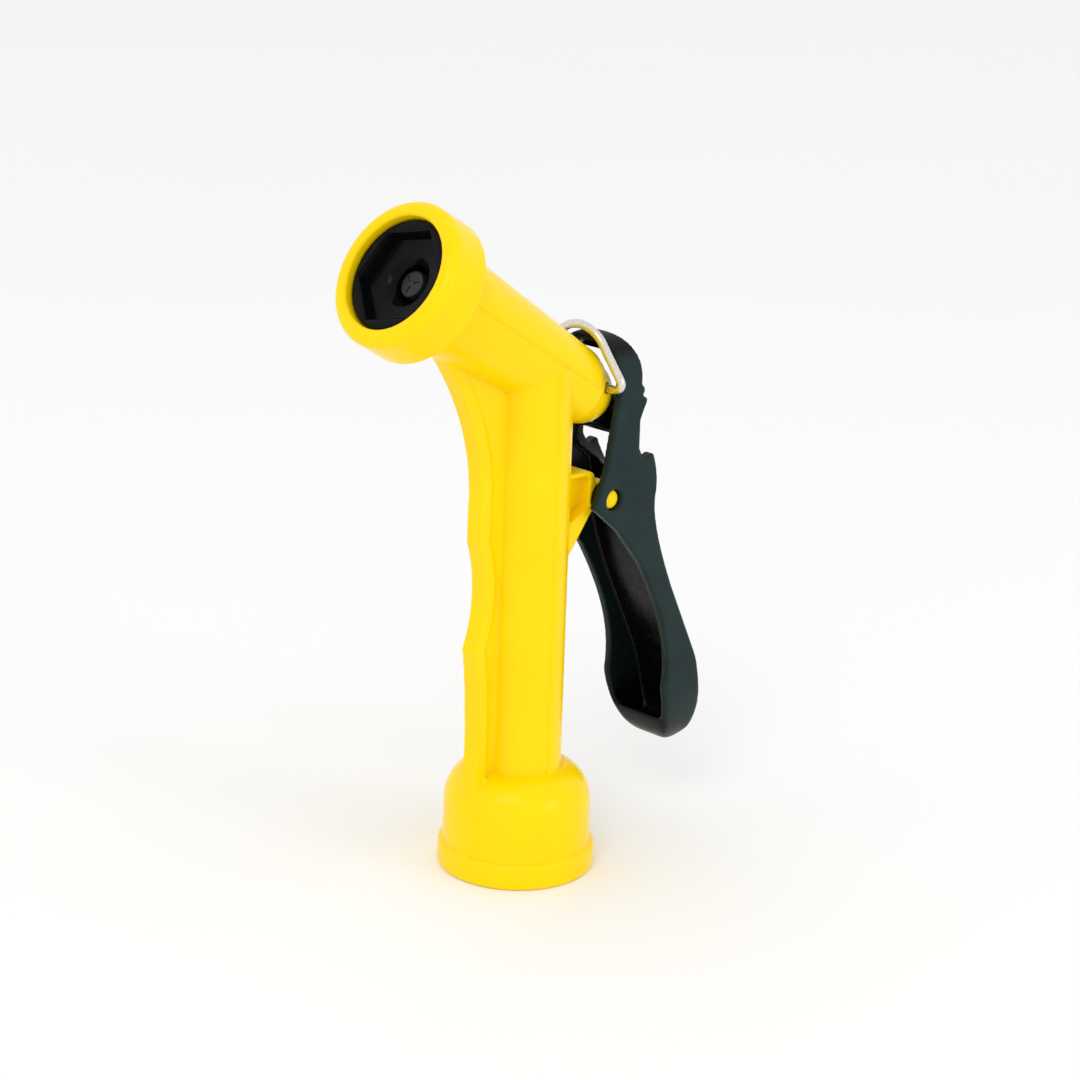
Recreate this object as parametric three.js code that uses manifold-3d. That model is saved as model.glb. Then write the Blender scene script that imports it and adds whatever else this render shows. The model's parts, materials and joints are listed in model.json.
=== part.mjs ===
// Hose spray nozzle with a rear lever: a pistol-grip moulding with a hose collar below and a barrel
// above. The lever pulls a sprung valve stem back through the barrel. Millimetres, +Z up the grip,
// -X towards the spray, origin at the centre of the hose collar's bottom face.

import * as THREE from 'three';
import { mergeVertices } from 'three/addons/utils/BufferGeometryUtils.js';
import Module from 'manifold-3d';

const wasm = await Module();
wasm.setup();

// ---- driving dimensions -------------------------------------------------------------------------

const touchGap = 0.3;          // clearance between pieces that touch or seal
const runGap = 0.4;            // clearance between pieces that move past each other
const far = 60;                // reach of a cutting solid

const lipRadius = 18;          // hose collar
const lipHeight = 5.8;
const collarRadius = lipRadius - 1.2;
const collarHeight = 15.5;
const shoulderHeight = 8.8;
const socketRadius = collarRadius - 3.6;
const socketDepth = 12.7;
const hoseWasherThickness = 2.7;

const gripRadius = 9.1;        // grip tube and its raised rear half
const gripRearStep = 0.7;
const passageRadius = gripRadius - 3.1;

const barrelPitch = THREE.MathUtils.degToRad(31);
const barrelHeight = 118.6;    // where the barrel's axis crosses the grip's axis
const barrelFront = 47.5;      // distances along the barrel's axis from that crossing
const barrelRear = -gripRadius - 8.1;
const noseRear = barrelFront - 11.2;
const noseRadius = 16.4;
const noseRound = 2.2;
const chamberRadius = 6.4;
const barrelFrontRadius = noseRadius - 4.9;
const barrelRearRadius = chamberRadius + 1.9;
const barrelTopStep = 0.65;
const spigotBoreRadius = chamberRadius + 2.1;
const insertBoreRadius = noseRadius - 3.7;
const mouthLead = 0.6;
const spigotLength = 8.5;
const noseFloor = barrelFront - 9.1;

const flangeReach = gripRadius + 6.5;   // finger flange along the grip's front
const flangeHalfWidth = 2.2;
const flangeThickness = 3.3;
const webTopHalfWidth = 2;
const webFootHalfWidth = 1;
const flangeRoot = -4;
const fingerRidge = 0.9;
const fingerHollow = 3.9;
const lowerRidgeHeight = 54.8;
const upperRidgeHeight = 79.5;
const flangeStraightTop = barrelHeight - 28.6;
const flangeRise = 36;
const flangeFlare = 14.2;

const insertRecess = 1.6;      // nozzle insert
const hexDepth = 3.5;
const hexRadius = insertBoreRadius - 1.3;
const hexTurn = THREE.MathUtils.degToRad(12);
const hexTaper = 0.6;
const outletRadius = 4.2;
const outletFlare = 1.6;
const outletFlareDepth = 1.5;

const stemRadius = 2.2;        // valve stem and what is on it
const stemRear = barrelRear - 19.4;
const stemCollarFront = 11.9;
const stemCollarThickness = 2;
const stemCollarRadius = chamberRadius - 1.2;
const stemShankRadius = stemRadius + 0.8;
const poppetFront = 27;
const poppetThickness = 2.5;
const poppetRadius = chamberRadius - 1.2;
const sealThickness = 2.2;
const tipRadius = stemRadius + 0.9;
const tipSink = 1.2;
const tipSocketDepth = 3.7;

const plugRadius = chamberRadius - touchGap;   // end cap
const plugFront = barrelRear + 7.2;
const domeRadius = barrelRearRadius - 0.7;
const domeFlat = 7.8 - barrelRear;
const capFlatRadius = stemRadius + 1.2;
const sealPocketDepth = 2.7;
const capSealAt = barrelRear + 3;
const insertSealAt = noseFloor - 5.5;
const sealWire = 0.55;
const stemSealWire = 0.8;
const sealGrooveSlack = 0.3;
const washerThickness = 0.8;
const springWire = 0.5;
const springRadius = chamberRadius - 2.1;
const springTurns = 7;
const glandNutRadius = 5.2;
const glandNutLength = 3.2;

const leverWall = 2;           // lever, whose outline is drawn from the pivot
const leverHalfWidth = domeRadius + leverWall + 0.6;
const leverBackWall = 2.3;
const pivotX = gripRadius + 8.9;
const pivotZ = barrelHeight - 33.2;
const pinRadius = 2.2;
const pinRecess = 1;
const pivotBossRadius = 4;
const bracketHalfWidth = leverHalfWidth - leverWall - 2.2;
const bracketEndRadius = 3.7;
const bracketPocketDepth = 3.2;
const bridgeHalfHeight = 5;
const bridgeThickness = 2.3;
const headCentre = 27;         // heights from the pivot
const tailCentre = -50.4;
const tailRound = 17.3;
const headWindowHeight = 8.8;
const headWindowMiddle = 27.6;
const backWindowMiddle = 12.1;
const backWindowHalfHeight = 6.8;
const backWindowSlope = 24;    // degrees down towards the back
const windowHalfWidth = leverHalfWidth - 2.6;
const slotUp = stemRadius + 1.7;
const slotDown = stemRadius + 0.8;
const nutRadius = stemRadius + 1.6;
const nutLength = 3.7;
const nutDomeRadius = 5;

const clipWire = 1;            // wire clip
const clipAlong = barrelRear - 1.5;       // its pivot, along the barrel's axis and above it
const clipAbove = 2.2;
const clipLean = THREE.MathUtils.degToRad(7.2);
const clipLength = barrelRearRadius + 5.4;
const clipFootHeight = 2.2;
const clipArchHeight = barrelRearRadius - 2.1;
const clipFootHalfWidth = barrelRearRadius + 3.3;
const clipArchHalfWidth = barrelRearRadius - 0.1;
const clipEndHalfWidth = 4.6;
const clipHoleBottom = 4;

// ---- colours ------------------------------------------------------------------------------------

const yellowPlastic = new THREE.MeshStandardMaterial({ color: 0xfedc00, roughness: 0.28, metalness: 0 });
const blackPlastic = new THREE.MeshStandardMaterial({ color: 0x101313, roughness: 0.3, metalness: 0 });
const leverPlastic = new THREE.MeshStandardMaterial({ color: 0x141c1c, roughness: 0.45, metalness: 0 });
const greyPlastic = new THREE.MeshStandardMaterial({ color: 0x2a2c2d, roughness: 0.4, metalness: 0 });
const blackRubber = new THREE.MeshStandardMaterial({ color: 0x151515, roughness: 0.8, metalness: 0 });
const brightSteel = new THREE.MeshStandardMaterial({ color: 0xbeb4a0, roughness: 0.2, metalness: 1 });
const brass = new THREE.MeshStandardMaterial({ color: 0xc9a24a, roughness: 0.3, metalness: 1 });

// ---- solids -------------------------------------------------------------------------------------

function solid(geometry) {
  const bare = new THREE.BufferGeometry();
  bare.setAttribute('position', geometry.getAttribute('position'));
  bare.setIndex(geometry.getIndex());
  const welded = mergeVertices(bare, 1e-4);
  const index = welded.getIndex().array;
  const triVerts = [];
  for (let i = 0; i < index.length; i += 3) {
    const [a, b, c] = [index[i], index[i + 1], index[i + 2]];
    if (a !== b && b !== c && c !== a) triVerts.push(a, b, c);
  }
  return new wasm.Manifold(new wasm.Mesh({
    numProp: 3,
    vertProperties: Float32Array.from(welded.getAttribute('position').array),
    triVerts: Uint32Array.from(triVerts),
  }));
}

function surface(manifold) {
  const mesh = manifold.getMesh();
  const geometry = new THREE.BufferGeometry();
  geometry.setAttribute('position', new THREE.BufferAttribute(mesh.vertProperties, 3));
  geometry.setIndex(new THREE.BufferAttribute(mesh.triVerts, 1));
  const faceted = geometry.toNonIndexed();
  faceted.computeVertexNormals();
  return faceted;
}

// A round solid about Z between two heights.
function rod(radius, from, to, segments = 36) {
  const geometry = new THREE.CylinderGeometry(radius, radius, to - from, segments);
  geometry.rotateX(Math.PI / 2);
  geometry.translate(0, 0, (from + to) / 2);
  return solid(geometry);
}

// A profile of [radius, height] points, anticlockwise, turned about Z.
function turned(profile, segments = 36) {
  const points = profile.map(([radius, height]) => new THREE.Vector2(radius, height));
  const geometry = new THREE.LatheGeometry(points, segments);
  geometry.rotateX(Math.PI / 2);
  return solid(geometry);
}

function washer(inner, outer, from, to, segments = 28) {
  return turned([[inner, from], [outer, from], [outer, to], [inner, to], [inner, from]], segments);
}

function sealRing(radius, wire, at) {
  const geometry = new THREE.TorusGeometry(radius, wire, 8, 26);
  geometry.translate(0, 0, at);
  return solid(geometry);
}

// A shape drawn in X and Z, with its thickness across Y.
function plate(shape, from, to, curveSegments = 10) {
  const geometry = new THREE.ExtrudeGeometry(shape, { depth: to - from, bevelEnabled: false, curveSegments });
  geometry.rotateX(Math.PI / 2);
  geometry.translate(0, to, 0);
  return solid(geometry);
}

// A shape drawn in Y and Z, with its thickness across X.
function bar(shape, from, to) {
  const geometry = new THREE.ExtrudeGeometry(shape, { depth: to - from, bevelEnabled: false, curveSegments: 20 });
  geometry.rotateX(Math.PI / 2);
  geometry.rotateZ(Math.PI / 2);
  geometry.translate(from, 0, 0);
  return solid(geometry);
}

function block(low, high) {
  const size = high.map((value, axis) => value - low[axis]);
  const geometry = new THREE.BoxGeometry(...size);
  geometry.translate(...high.map((value, axis) => (value + low[axis]) / 2));
  return solid(geometry);
}

function outline(points) {
  return new THREE.Shape(points.map(([u, v]) => new THREE.Vector2(u, v)));
}

// The barrel's own frame: Z forward along its axis, X up and across it, Y the object's Y.
const barrelFrame = new THREE.Matrix4()
  .makeRotationY(barrelPitch - Math.PI / 2)
  .setPosition(0, 0, barrelHeight);

function onBarrel(manifold) {
  return manifold.transform(barrelFrame.toArray());
}

function mesh(name, manifold, material) {
  const part = new THREE.Mesh(surface(manifold), material);
  part.name = name;
  return part;
}

// ---- body ---------------------------------------------------------------------------------------

function hoseCollar() {
  const profile = [[0, 0], [lipRadius - 0.6, 0], [lipRadius, 0.6], [lipRadius, lipHeight - 0.4],
    [lipRadius - 0.4, lipHeight], [collarRadius + 0.2, lipHeight]];
  const steps = 10;
  for (let i = 0; i <= steps; i += 1) {
    const angle = (i / steps) * Math.PI / 2;
    const radius = gripRadius + (collarRadius - gripRadius) * Math.cos(angle);
    profile.push([radius, collarHeight + shoulderHeight * Math.sin(angle)]);
  }
  profile.push([0, collarHeight + shoulderHeight]);
  return turned(profile, 48);
}

// The flange's outer edge, moved back by the given amount, with its two finger hollows.
function flangeEdge(shape, back, foot, top) {
  const x = -flangeReach + back;
  const ridge = x - fingerRidge;
  const hollow = x + fingerHollow;
  shape.moveTo(x, foot);
  shape.quadraticCurveTo(x + 1, (foot + lowerRidgeHeight) / 2 + 5, ridge, lowerRidgeHeight);
  shape.quadraticCurveTo(hollow, (lowerRidgeHeight + upperRidgeHeight) / 2, x - 0.3, upperRidgeHeight);
  shape.lineTo(x, flangeStraightTop);
  shape.quadraticCurveTo(x, (flangeStraightTop + top) / 2, x - flangeFlare, top);
}

function fingerFlange() {
  const foot = collarHeight + shoulderHeight - 5;
  const top = flangeStraightTop + flangeRise;
  const front = new THREE.Shape();
  flangeEdge(front, 0, foot, top);
  front.lineTo(flangeRoot, top);
  front.lineTo(flangeRoot, foot);
  const behind = new THREE.Shape();
  flangeEdge(behind, flangeThickness, foot - 1, top + 1);
  behind.lineTo(0, top + 1);
  behind.lineTo(0, foot - 1);
  const cut = plate(behind, -flangeHalfWidth - 1, flangeHalfWidth + 1);
  const flange = plate(front, -flangeHalfWidth, flangeHalfWidth).subtract(cut);
  const wedge = outline([[-webFootHalfWidth, foot], [webFootHalfWidth, foot],
    [webTopHalfWidth, top], [-webTopHalfWidth, top]]);
  const web = plate(front, -webTopHalfWidth, webTopHalfWidth).intersect(bar(wedge, -far, far));
  return flange.add(web);
}

function gripTube() {
  const foot = collarHeight;
  const rearHalf = rod(gripRadius + gripRearStep, foot + 2, barrelHeight + 20, 48)
    .intersect(block([0.3, -far, 0], [far, far, far * 3]));
  const tube = rod(gripRadius, foot, barrelHeight + 20, 48).add(rearHalf);
  const aboveBarrel = onBarrel(block([0, -far, -far], [far, far, far]));
  return tube.subtract(aboveBarrel);
}

function barrelOutside(extra) {
  return turned([[0, barrelRear], [barrelRearRadius + extra, barrelRear],
    [barrelFrontRadius + extra, noseRear], [barrelFrontRadius + extra, noseRear + 1], [0, noseRear + 1]], 48);
}

function barrel() {
  const profile = [[0, noseRear], [noseRadius - 0.8, noseRear], [noseRadius, noseRear + 0.8]];
  const steps = 5;
  for (let i = 0; i <= steps; i += 1) {
    const angle = (i / steps) * Math.PI / 2;
    const radius = noseRadius - noseRound * (1 - Math.cos(angle));
    profile.push([radius, barrelFront - noseRound * (1 - Math.sin(angle))]);
  }
  profile.push([0, barrelFront]);
  const nose = turned(profile, 48);
  const topHalf = barrelOutside(barrelTopStep)
    .intersect(block([1.2, -far, barrelRear + 2], [far, far, noseRear + 0.5]));
  return barrelOutside(0).add(topHalf).add(nose);
}

// Two ribs that carry the pivot, drawn from it, with a pocket between them on each side.
function pivotBracket() {
  const root = -gripRadius - 4;
  const lug = new THREE.Shape();
  lug.moveTo(root, 6.9);
  lug.lineTo(-4.2, 6.5);
  lug.quadraticCurveTo(-2.4, 6.4, -2.1, 4.4);
  lug.absarc(0, 0, bracketEndRadius, Math.PI * 0.68, -Math.PI * 0.75, true);
  lug.lineTo(-8.8, -10.9);
  lug.lineTo(root, -15.4);
  const pocket = outline([[root - 1, 5.7], [-4.8, 5.5], [-3.9, 4.4], [-4, -1.7], [root - 1, -6.9]]);
  const inner = bracketHalfWidth - bracketPocketDepth;
  return plate(lug, -bracketHalfWidth, bracketHalfWidth, 14)
    .subtract(plate(pocket, inner, bracketHalfWidth + 1))
    .subtract(plate(pocket, -bracketHalfWidth - 1, -inner))
    .translate([pivotX, 0, pivotZ]);
}

function pinHole(radius, halfLength) {
  const geometry = new THREE.CylinderGeometry(radius, radius, halfLength * 2, 32);
  geometry.translate(pivotX, 0, pivotZ);
  return solid(geometry);
}

function waterways() {
  const chamber = rod(chamberRadius, barrelRear - 1, noseFloor, 48);
  const spigot = rod(spigotBoreRadius, noseFloor - spigotLength - touchGap, noseFloor + 0.5, 48);
  const mouth = turned([[0, noseFloor], [insertBoreRadius, noseFloor], [insertBoreRadius, barrelFront - 0.5],
    [insertBoreRadius + mouthLead, barrelFront + 0.1], [insertBoreRadius + mouthLead, barrelFront + 1],
    [0, barrelFront + 1]], 48);
  return onBarrel(chamber.add(spigot).add(mouth))
    .add(rod(socketRadius, -1, socketDepth, 48))
    .add(rod(passageRadius, 0, barrelHeight));
}

function body() {
  return hoseCollar()
    .add(gripTube())
    .add(fingerFlange().subtract(onBarrel(block([flangeRoot, -far, -far], [far, far, far]))))
    .add(pivotBracket())
    .add(onBarrel(barrel()))
    .subtract(waterways())
    .subtract(pinHole(pinRadius + touchGap, far));
}

// ---- pieces on the barrel's axis ----------------------------------------------------------------

const insertFace = barrelFront - insertRecess;
const insertRear = noseFloor - spigotLength;
const hexFloor = insertFace - hexDepth;

function nozzleInsert() {
  const headRadius = insertBoreRadius - touchGap;
  const spigotRadius = spigotBoreRadius - touchGap;
  const grooveHalf = sealWire + sealGrooveSlack;
  const grooveRadius = spigotRadius - 2 * sealWire - sealGrooveSlack;
  const outside = turned([[0, insertRear], [spigotRadius, insertRear],
    [spigotRadius, insertSealAt - grooveHalf], [grooveRadius, insertSealAt - grooveHalf],
    [grooveRadius, insertSealAt + grooveHalf], [spigotRadius, insertSealAt + grooveHalf],
    [spigotRadius, noseFloor + touchGap], [headRadius, noseFloor + touchGap],
    [headRadius, insertFace - 0.3], [headRadius - 0.3, insertFace], [0, insertFace]], 48);
  const hex = new THREE.CylinderGeometry(hexRadius, hexRadius - hexTaper, hexDepth + 1, 6);
  hex.rotateX(Math.PI / 2);
  hex.rotateZ(hexTurn);
  hex.translate(0, 0, hexFloor + (hexDepth + 1) / 2);
  return outside
    .subtract(solid(hex))
    .subtract(turned([[0, insertRear - 1], [outletRadius, insertRear - 1], [outletRadius, hexFloor - outletFlareDepth],
      [outletRadius + outletFlare, hexFloor], [outletRadius + outletFlare, hexFloor + 0.5],
      [0, hexFloor + 0.5]], 32));
}

function insertSeal() {
  const radius = spigotBoreRadius - touchGap - sealWire;
  return sealRing(radius - touchGap / 2, sealWire, insertSealAt);
}

const sealRear = poppetFront + touchGap;
const tipRear = sealRear + sealThickness + touchGap;

function valveStem() {
  const collarRear = stemCollarFront - stemCollarThickness;
  const threadEnd = tipRear + tipSocketDepth - touchGap;
  return turned([[0, stemRear], [stemRadius - 0.4, stemRear], [stemRadius, stemRear + 0.4],
    [stemRadius, collarRear], [stemCollarRadius, collarRear], [stemCollarRadius, stemCollarFront],
    [stemShankRadius, stemCollarFront], [stemShankRadius, poppetFront - poppetThickness],
    [poppetRadius, poppetFront - poppetThickness], [poppetRadius, poppetFront],
    [stemRadius, poppetFront], [stemRadius, threadEnd], [0, threadEnd]], 28);
}

function poppetSeal() {
  return washer(stemRadius + touchGap, poppetRadius + 0.2, sealRear, sealRear + sealThickness);
}

function stemTip() {
  const front = hexFloor - tipSink;
  const socketTop = tipRear + tipSocketDepth;
  return turned([[stemRadius + touchGap, tipRear], [tipRadius, tipRear], [tipRadius, front - 0.6],
    [tipRadius - 0.6, front], [0, front], [0, socketTop], [stemRadius + touchGap, socketTop],
    [stemRadius + touchGap, tipRear]], 28);
}

function endCap() {
  const shaftHole = stemRadius + touchGap;
  const pocketRadius = shaftHole + 2 * stemSealWire + touchGap + 0.05;
  const grooveHalf = sealWire + sealGrooveSlack;
  const grooveRadius = plugRadius - 2 * sealWire - sealGrooveSlack;
  const domeCentre = barrelRear - touchGap;
  const profile = [[shaftHole, -domeFlat]];
  const flatAngle = Math.asin(capFlatRadius / domeRadius);
  const domeDepth = (domeFlat + domeCentre) / Math.cos(flatAngle);
  const steps = 9;
  for (let i = 0; i <= steps; i += 1) {
    const angle = flatAngle + (Math.PI / 2 - flatAngle) * (i / steps);
    profile.push([domeRadius * Math.sin(angle), domeCentre - domeDepth * Math.cos(angle)]);
  }
  profile.push([plugRadius, domeCentre], [plugRadius, capSealAt - grooveHalf],
    [grooveRadius, capSealAt - grooveHalf], [grooveRadius, capSealAt + grooveHalf],
    [plugRadius, capSealAt + grooveHalf], [plugRadius, plugFront], [pocketRadius, plugFront],
    [pocketRadius, plugFront - sealPocketDepth], [shaftHole, plugFront - sealPocketDepth],
    [shaftHole, -domeFlat]);
  const hole = new THREE.CylinderGeometry(clipWire + touchGap, clipWire + touchGap, far, 20);
  hole.translate(clipAbove, clipHoleBottom + far / 2, clipAlong);
  const mirrored = hole.clone().translate(0, -2 * clipHoleBottom - far, 0);
  return turned(profile).subtract(solid(hole)).subtract(solid(mirrored));
}

function capSeal() {
  return sealRing(plugRadius - sealWire - touchGap / 2, sealWire, capSealAt);
}

function stemSeal() {
  const radius = stemRadius + touchGap + stemSealWire;
  return sealRing(radius + 0.05, stemSealWire, plugFront - sealPocketDepth + touchGap + stemSealWire);
}

const glandWasherFront = plugFront + touchGap + washerThickness;
const springRear = glandWasherFront + touchGap;
const frontWasherRear = stemCollarFront - stemCollarThickness - touchGap - washerThickness;
const springFront = frontWasherRear - touchGap;

function glandWasher() {
  return washer(stemRadius + runGap, plugRadius - touchGap, glandWasherFront - washerThickness, glandWasherFront);
}

function springWasher() {
  return washer(stemRadius + runGap, stemCollarRadius, frontWasherRear, frontWasherRear + washerThickness);
}

class SpringLine extends THREE.Curve {
  getPoint(t, target = new THREE.Vector3()) {
    const angle = t * springTurns * 2 * Math.PI;
    const rise = springFront - springRear - 2 * springWire;
    const z = springRear + springWire + rise * t;
    return target.set(springRadius * Math.cos(angle), springRadius * Math.sin(angle), z);
  }
}

function returnSpring() {
  const section = new THREE.Shape();
  section.absarc(0, 0, springWire, 0, 2 * Math.PI);
  const geometry = new THREE.ExtrudeGeometry(section, {
    extrudePath: new SpringLine(), steps: springTurns * 16, curveSegments: 6, bevelEnabled: false,
  });
  return solid(geometry);
}

function glandNut() {
  const rear = -domeFlat - touchGap - glandNutLength;
  const geometry = new THREE.CylinderGeometry(glandNutRadius, glandNutRadius, glandNutLength, 6);
  geometry.rotateX(Math.PI / 2);
  geometry.translate(0, 0, rear + glandNutLength / 2);
  return solid(geometry).subtract(rod(stemRadius + runGap, rear - 1, rear + glandNutLength + 1, 32));
}

// The lever's bridge stands behind the gland nut, and the adjusting nut behind the bridge.
const bridgeFront = -domeFlat - touchGap - glandNutLength - 0.5;
const bridgeRear = bridgeFront - bridgeThickness;

function adjustingNut() {
  const front = bridgeRear - runGap;
  const bore = stemRadius + touchGap;
  const rear = front - nutLength;
  const domeCentre = front - nutDomeRadius;
  const profile = [[bore, rear], [nutRadius - 0.4, rear], [nutRadius, rear + 0.4]];
  const steps = 5;
  for (let i = 0; i <= steps; i += 1) {
    const radius = nutRadius + (bore - nutRadius) * (i / steps);
    profile.push([radius, domeCentre + Math.sqrt(nutDomeRadius ** 2 - radius ** 2)]);
  }
  profile.push([bore, rear]);
  return turned(profile, 24);
}

// ---- lever --------------------------------------------------------------------------------------

// The side of the lever, from the hood over the back, the thumb ledge and the tail to the front rim.
function leverSide() {
  const side = new THREE.Shape();
  side.moveTo(-0.4, 34.1);
  side.quadraticCurveTo(-0.2, 37, 2.4, 37.2);
  side.quadraticCurveTo(8, 36.2, 7.6, 25.6);
  side.lineTo(8.6, 24.2);
  side.lineTo(8, 23);
  side.lineTo(9.6, 21.4);
  side.lineTo(7.5, 17.4);
  side.lineTo(7.6, 10.6);
  side.lineTo(9.3, 7.9);
  side.lineTo(12.2, 9);
  side.quadraticCurveTo(14.6, 3.6, 13.5, -1.9);
  side.quadraticCurveTo(13, -8.4, 20.5, -24.6);
  side.lineTo(29.4, -42.4);
  side.quadraticCurveTo(33.6, -51.5, 33.1, -63.5);
  side.quadraticCurveTo(27.8, -68.9, 23.5, -62.9);
  side.quadraticCurveTo(20.7, -58.5, 19.4, -49.8);
  side.quadraticCurveTo(23, -38.4, 9.4, -16.8);
  side.lineTo(2, -7.9);
  side.lineTo(-6.1, -1.2);
  side.quadraticCurveTo(-2.6, 5.6, -2, 10);
  side.lineTo(0.4, 22.6);
  side.quadraticCurveTo(1.4, 27.6, -0.4, 34.1);
  return side;
}

// The scoop between the cheeks, in front of the back wall and down into the round tail.
function leverChannel() {
  const t = leverBackWall;
  const open = -pivotX;
  const space = new THREE.Shape();
  space.moveTo(open, 37.2 - t);
  space.lineTo(2.4, 37.2 - t);
  space.quadraticCurveTo(8 - t, 34.6, 7.6 - t, 25.6);
  space.lineTo(7.5 - t, 17.6);
  space.lineTo(7.6 - t, 8.6);
  space.lineTo(12.6 - t, 4.6);
  space.quadraticCurveTo(13.6 - t, 0.6, 13.3 - t, -1.9);
  space.quadraticCurveTo(12.8 - t, -8.4, 20.2 - t, -24.6);
  space.lineTo(29.4 - t, -43.4);
  space.quadraticCurveTo(33.6 - t, -52, 33 - t, -60.2);
  space.quadraticCurveTo(28, -64.6, 24.5, -60.4);
  space.quadraticCurveTo(21.6, -57.4, 16, -57.4);
  space.lineTo(open, -57.4);
  return space;
}

function leverBridge() {
  const halfWidth = leverHalfWidth - leverWall + 0.3;
  const low = [-bridgeHalfHeight, -halfWidth, bridgeRear];
  return onBarrel(block(low, [bridgeHalfHeight, halfWidth, bridgeFront]));
}

// Room for the gland nut in front of the bridge.
function glandNutSpace() {
  const reach = glandNutRadius + runGap + 0.2;
  return onBarrel(block([-reach, -windowHalfWidth, bridgeFront], [reach, windowHalfWidth, 0]));
}

function stemSlot() {
  const slot = new THREE.Shape();
  const halfWidth = stemRadius + runGap;
  slot.absarc(slotUp - halfWidth, 0, halfWidth, -Math.PI / 2, Math.PI / 2);
  slot.absarc(halfWidth - slotDown, 0, halfWidth, Math.PI / 2, Math.PI * 1.5);
  const geometry = new THREE.ExtrudeGeometry(slot, { depth: 30, bevelEnabled: false, curveSegments: 12 });
  geometry.translate(0, 0, bridgeRear - 15);
  return onBarrel(solid(geometry));
}

// The lever seen from behind, round over its head and round under its tail.
function leverBackView(inset) {
  const halfWidth = leverHalfWidth - inset;
  const view = new THREE.Shape();
  view.absarc(0, headCentre, halfWidth, 0, Math.PI);
  view.absellipse(0, tailCentre, halfWidth, tailRound - inset, Math.PI, 2 * Math.PI);
  return bar(view, -far, far * 2);
}

function headWindow() {
  const low = headWindowMiddle - headWindowHeight / 2;
  return block([2, -windowHalfWidth, low], [far, windowHalfWidth, low + headWindowHeight]);
}

function backWindow() {
  const view = new THREE.Shape();
  view.absellipse(0, 0, windowHalfWidth, backWindowHalfHeight, 0, 2 * Math.PI);
  return bar(view, -2, far).rotate([0, backWindowSlope, 0]).translate([5.3, 0, backWindowMiddle]);
}

function lever() {
  const inner = leverHalfWidth - leverWall;
  const channel = plate(leverChannel(), -inner, inner, 8).intersect(leverBackView(leverWall));
  const shell = plate(leverSide(), -leverHalfWidth, leverHalfWidth, 8)
    .subtract(channel)
    .subtract(headWindow())
    .subtract(backWindow())
    .translate([pivotX, 0, pivotZ]);
  const bossFace = bracketHalfWidth + touchGap;
  const between = block([0, -bossFace, 0], [far, bossFace, far * 3]);
  const boss = pinHole(pivotBossRadius, inner + 0.5).subtract(between);
  return shell
    .subtract(glandNutSpace())
    .add(leverBridge())
    .intersect(leverBackView(0).translate([0, 0, pivotZ]))
    .add(boss)
    .subtract(stemSlot())
    .subtract(pinHole(pinRadius + touchGap, far));
}

function pivotPin() {
  const geometry = new THREE.CylinderGeometry(pinRadius, pinRadius, 2 * (leverHalfWidth - pinRecess), 32);
  geometry.translate(pivotX, 0, pivotZ);
  return solid(geometry);
}

// ---- wire clip ----------------------------------------------------------------------------------

const clipPivot = new THREE.Vector3(clipAbove, 0, clipAlong).applyMatrix4(barrelFrame);

// A point of the clip's plane: across the object and up the leaning loop.
function clipPoint(across, up) {
  const offset = new THREE.Vector3(-up * Math.sin(clipLean), across, up * Math.cos(clipLean));
  return offset.add(clipPivot);
}

class ClipLine extends THREE.Curve {
  constructor() {
    super();
    const half = [[clipEndHalfWidth, 0], [clipFootHalfWidth - 3.6, 0], [clipFootHalfWidth - 1.6, 0.1],
      [clipFootHalfWidth - 0.4, 0.8], [clipFootHalfWidth, clipFootHeight]];
    const legMiddle = (clipFootHeight + clipArchHeight) / 2;
    half.push([(clipFootHalfWidth + clipArchHalfWidth) / 2, legMiddle]);
    const steps = 4;
    for (let i = 0; i < steps; i += 1) {
      const angle = (i / steps) * Math.PI / 2;
      const rise = (clipLength - clipArchHeight) * Math.sin(angle);
      half.push([clipArchHalfWidth * Math.cos(angle), clipArchHeight + rise]);
    }
    const near = half.map(([across, up]) => clipPoint(-across, up));
    const other = half.map(([across, up]) => clipPoint(across, up)).reverse();
    this.line = new THREE.CatmullRomCurve3([...near, clipPoint(0, clipLength), ...other], false, 'centripetal');
  }

  getPoint(t, target) {
    return this.line.getPointAt(t, target);
  }
}

function wireClip() {
  const section = new THREE.Shape();
  section.absarc(0, 0, clipWire, 0, 2 * Math.PI);
  const geometry = new THREE.ExtrudeGeometry(section, {
    extrudePath: new ClipLine(), steps: 56, curveSegments: 8, bevelEnabled: false,
  });
  return solid(geometry);
}

function hoseWasher() {
  const top = socketDepth - touchGap;
  return washer(passageRadius + 0.8, socketRadius - 0.6, top - hoseWasherThickness, top, 56);
}

// ---- assembly -----------------------------------------------------------------------------------

const barrelPieces = new THREE.Group();
barrelPieces.rotation.y = barrelPitch - Math.PI / 2;
barrelPieces.position.z = barrelHeight;
barrelPieces.add(
  mesh('end_cap', endCap(), yellowPlastic),
  mesh('end_cap_o_ring', capSeal(), blackRubber),
  mesh('nozzle_insert', nozzleInsert(), blackPlastic),
  mesh('insert_o_ring', insertSeal(), blackRubber),
  mesh('valve_stem', valveStem(), brass),
  mesh('poppet_seal', poppetSeal(), blackRubber),
  mesh('stem_tip', stemTip(), greyPlastic),
  mesh('stem_o_ring', stemSeal(), blackRubber),
  mesh('gland_washer', glandWasher(), brass),
  mesh('return_spring', returnSpring(), brightSteel),
  mesh('spring_washer', springWasher(), brass),
  mesh('gland_nut', glandNut(), blackPlastic),
  mesh('adjusting_nut', adjustingNut(), brass),
);

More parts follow.
